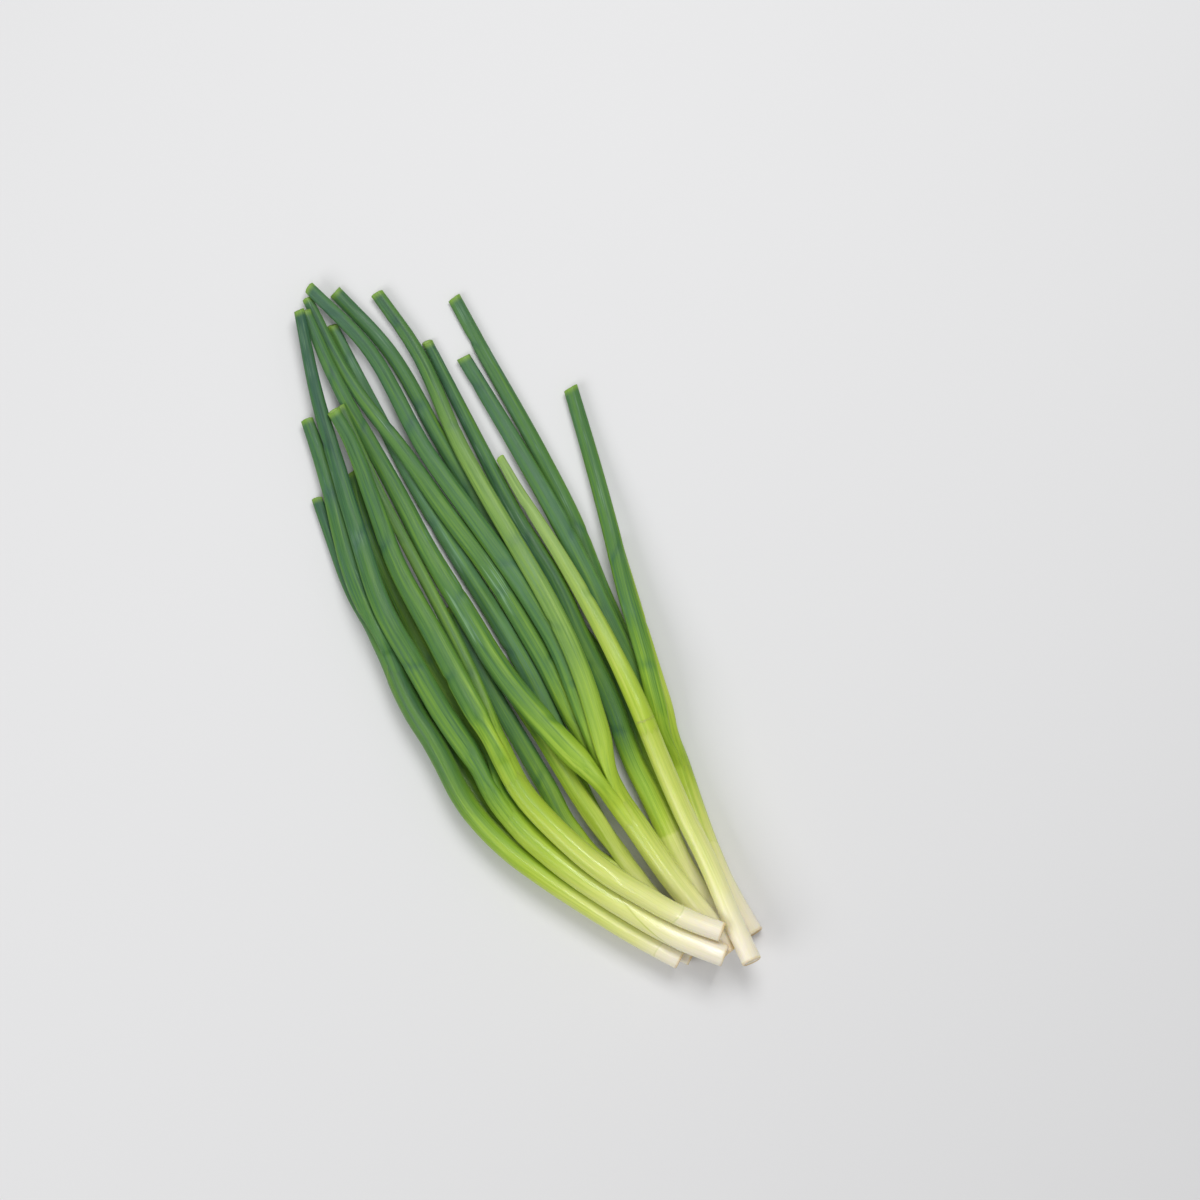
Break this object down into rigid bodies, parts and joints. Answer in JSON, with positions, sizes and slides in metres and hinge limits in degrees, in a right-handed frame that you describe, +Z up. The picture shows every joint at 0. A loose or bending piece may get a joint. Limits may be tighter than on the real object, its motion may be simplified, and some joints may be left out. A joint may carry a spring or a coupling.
{
  "type": "spring onion bunch",
  "caption": "Bunch of trimmed spring onions lying flat, pale cut stems together at one end, hollow green leaves fanning out.",
  "frame": {"origin": "middle of the bunch's bounding box in plan, on the surface that it lies on", "axes": "+Y towards the leaf tips, +Z up from the surface, +X to the right when seen from above with the tips away"},
  "size_m": [0.1726, 0.2522, 0.0273],
  "materials": {
    "pale_stem": "moist pale yellow-green stem, creamy white at the cut base, fine lengthwise veins, soft gloss",
    "lime_stem": "moist lime-green stem, creamy white at the cut base, fine lengthwise veins, soft gloss",
    "lime_leaf": "light yellow-green leaf, fine lengthwise veins, satin",
    "mid_leaf": "mid green leaf, fine lengthwise veins, satin",
    "deep_leaf": "dark green leaf, fine lengthwise veins, satin",
    "bloomed_leaf": "blue-green leaf with a thin waxy bloom, fine lengthwise veins, matt"
  },
  "bodies": {
    "root": {"onion_1_stem": "lime_stem", "onion_1_leaf_1": "mid_leaf", "onion_1_leaf_2": "deep_leaf", "onion_2_stem": "lime_stem", "onion_2_leaf_1": "mid_leaf", "onion_2_leaf_2": "deep_leaf", "onion_3_stem": "lime_stem", "onion_3_leaf_1": "deep_leaf", "onion_4_stem": "pale_stem", "onion_4_leaf_1": "mid_leaf", "onion_4_leaf_2": "lime_leaf", "onion_5_stem": "lime_stem", "onion_5_leaf_1": "deep_leaf", "onion_5_leaf_2": "lime_leaf", "onion_5_leaf_3": "bloomed_leaf", "onion_6_stem": "lime_stem", "onion_6_leaf_1": "mid_leaf", "onion_6_leaf_2": "mid_leaf", "onion_6_leaf_3": "bloomed_leaf", "onion_6_leaf_4": "lime_leaf", "onion_7_stem": "lime_stem", "onion_7_leaf_1": "mid_leaf", "onion_7_leaf_2": "deep_leaf", "onion_8_stem": "pale_stem", "onion_8_leaf_1": "lime_leaf", "onion_9_stem": "pale_stem", "onion_9_leaf_1": "bloomed_leaf", "onion_9_leaf_2": "mid_leaf", "onion_9_leaf_3": "mid_leaf", "onion_9_leaf_4": "lime_leaf"}
  },
  "joints": []
}
